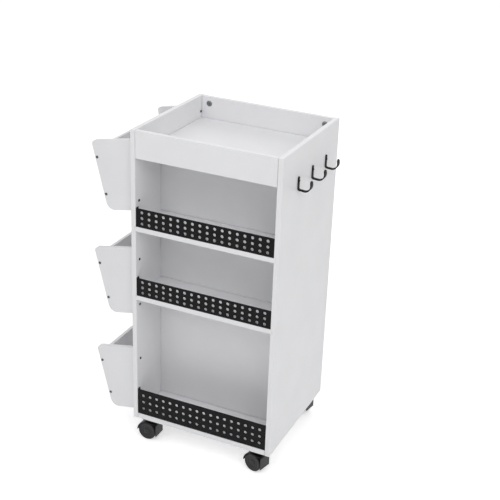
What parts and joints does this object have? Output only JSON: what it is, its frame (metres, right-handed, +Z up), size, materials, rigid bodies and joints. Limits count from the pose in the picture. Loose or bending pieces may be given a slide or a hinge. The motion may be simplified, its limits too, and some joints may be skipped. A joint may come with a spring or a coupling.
{
  "type": "rolling craft cart",
  "caption": "Tall white cart on swivel casters with a top tray, guarded front shelves, open rear shelves, slanted side bins and strap hooks.",
  "frame": {"origin": "middle of the bounding box's footprint, at floor level, under the wheels", "axes": "+Z up; +X to the right seen from the front, so the bins are on -X and the hooks on +X; +Y to the back"},
  "size_m": [0.551, 0.355, 0.8759],
  "materials": {
    "white_board": "white satin laminate on particle board",
    "bin_board": "white satin laminate on particle board",
    "black_sheet": "black powder coat, satin",
    "hook_strap": "black powder coat, satin",
    "zinc_cam": "cast zinc",
    "steel": "plain steel",
    "dark_screw": "dark zinc",
    "beech_dowel": "bare beech",
    "caster_plate": "black plate",
    "caster_hood": "black moulded nylon",
    "caster_wheel": "black moulded nylon"
  },
  "bodies": {
    "cabinet": {"left_side_panel": "white_board", "right_side_panel": "white_board", "bottom_board": "white_board", "upper_shelf": "white_board", "middle_shelf": "white_board", "divider_panel": "white_board", "tray_floor": "white_board", "front_apron": "white_board", "rear_apron": "white_board", "rear_upper_shelf": "white_board", "rear_middle_shelf": "white_board", "upper_bin_front_end": "bin_board", "upper_bin_rear_end": "bin_board", "upper_bin_face": "bin_board", "upper_bin_floor": "bin_board", "middle_bin_front_end": "bin_board", "middle_bin_rear_end": "bin_board", "middle_bin_face": "bin_board", "middle_bin_floor": "bin_board", "lower_bin_front_end": "bin_board", "lower_bin_rear_end": "bin_board", "lower_bin_face": "bin_board", "lower_bin_floor": "bin_board", "upper_guard": "black_sheet", "middle_guard": "black_sheet", "lower_guard": "black_sheet", "front_hook": "hook_strap", "middle_hook": "hook_strap", "rear_hook": "hook_strap", "cam_locks": "zinc_cam", "cam_bolts": "steel", "tray_dowels": "beech_dowel", "guard_screws": "dark_screw", "bin_mount_screws": "dark_screw", "bin_corner_screws": "steel", "hook_screws": "dark_screw", "caster_kingpins": "steel", "front_left_caster_plate": "caster_plate", "front_right_caster_plate": "caster_plate", "rear_left_caster_plate": "caster_plate", "rear_right_caster_plate": "caster_plate"},
    "front_left_swivel": {"front_left_caster_hood": "caster_hood", "front_left_caster_axle": "steel"},
    "front_left_front_wheel": {"front_left_caster_front_wheel": "caster_wheel"},
    "front_left_rear_wheel": {"front_left_caster_rear_wheel": "caster_wheel"},
    "front_right_swivel": {"front_right_caster_hood": "caster_hood", "front_right_caster_axle": "steel"},
    "front_right_front_wheel": {"front_right_caster_front_wheel": "caster_wheel"},
    "front_right_rear_wheel": {"front_right_caster_rear_wheel": "caster_wheel"},
    "rear_left_swivel": {"rear_left_caster_hood": "caster_hood", "rear_left_caster_axle": "steel"},
    "rear_left_front_wheel": {"rear_left_caster_front_wheel": "caster_wheel"},
    "rear_left_rear_wheel": {"rear_left_caster_rear_wheel": "caster_wheel"},
    "rear_right_swivel": {"rear_right_caster_hood": "caster_hood", "rear_right_caster_axle": "steel"},
    "rear_right_front_wheel": {"rear_right_caster_front_wheel": "caster_wheel"},
    "rear_right_rear_wheel": {"rear_right_caster_rear_wheel": "caster_wheel"}
  },
  "joints": [
    {"name": "front_left_caster_swivel", "type": "hinge", "parent": "cabinet", "child": "front_left_swivel", "pos_m": [-0.11881, -0.1535, 0.055], "axis": [0, 0, 1], "continuous": true},
    {"name": "front_left_caster_front_wheel_spin", "type": "hinge", "parent": "front_left_swivel", "child": "front_left_front_wheel", "pos_m": [-0.12431, -0.1654, 0.0254], "axis": [0, 1, 0], "continuous": true},
    {"name": "front_left_caster_rear_wheel_spin", "type": "hinge", "parent": "front_left_swivel", "child": "front_left_rear_wheel", "pos_m": [-0.12431, -0.1416, 0.0254], "axis": [0, 1, 0], "continuous": true},
    {"name": "front_right_caster_swivel", "type": "hinge", "parent": "cabinet", "child": "front_right_swivel", "pos_m": [0.19819, -0.1535, 0.055], "axis": [0, 0, 1], "continuous": true},
    {"name": "front_right_caster_front_wheel_spin", "type": "hinge", "parent": "front_right_swivel", "child": "front_right_front_wheel", "pos_m": [0.19006, -0.16379, 0.0254], "axis": [0.2334, 0.9724, 0], "continuous": true},
    {"name": "front_right_caster_rear_wheel_spin", "type": "hinge", "parent": "front_right_swivel", "child": "front_right_rear_wheel", "pos_m": [0.19562, -0.14064, 0.0254], "axis": [0.2334, 0.9724, 0], "continuous": true},
    {"name": "rear_left_caster_swivel", "type": "hinge", "parent": "cabinet", "child": "rear_left_swivel", "pos_m": [-0.11881, 0.1535, 0.055], "axis": [0, 0, 1], "continuous": true},
    {"name": "rear_left_caster_front_wheel_spin", "type": "hinge", "parent": "rear_left_swivel", "child": "rear_left_front_wheel", "pos_m": [-0.12513, 0.14201, 0.0254], "axis": [0.0698, 0.9976, 0], "continuous": true},
    {"name": "rear_left_caster_rear_wheel_spin", "type": "hinge", "parent": "rear_left_swivel", "child": "rear_left_rear_wheel", "pos_m": [-0.12347, 0.16576, 0.0254], "axis": [0.0698, 0.9976, 0], "continuous": true},
    {"name": "rear_right_caster_swivel", "type": "hinge", "parent": "cabinet", "child": "rear_right_swivel", "pos_m": [0.19819, 0.1535, 0.055], "axis": [0, 0, 1], "continuous": true},
    {"name": "rear_right_caster_front_wheel_spin", "type": "hinge", "parent": "rear_right_swivel", "child": "rear_right_front_wheel", "pos_m": [0.19099, 0.14254, 0.0254], "axis": [0.1478, 0.989, 0], "continuous": true},
    {"name": "rear_right_caster_rear_wheel_spin", "type": "hinge", "parent": "rear_right_swivel", "child": "rear_right_rear_wheel", "pos_m": [0.19451, 0.16608, 0.0254], "axis": [0.1478, 0.989, 0], "continuous": true}
  ]
}
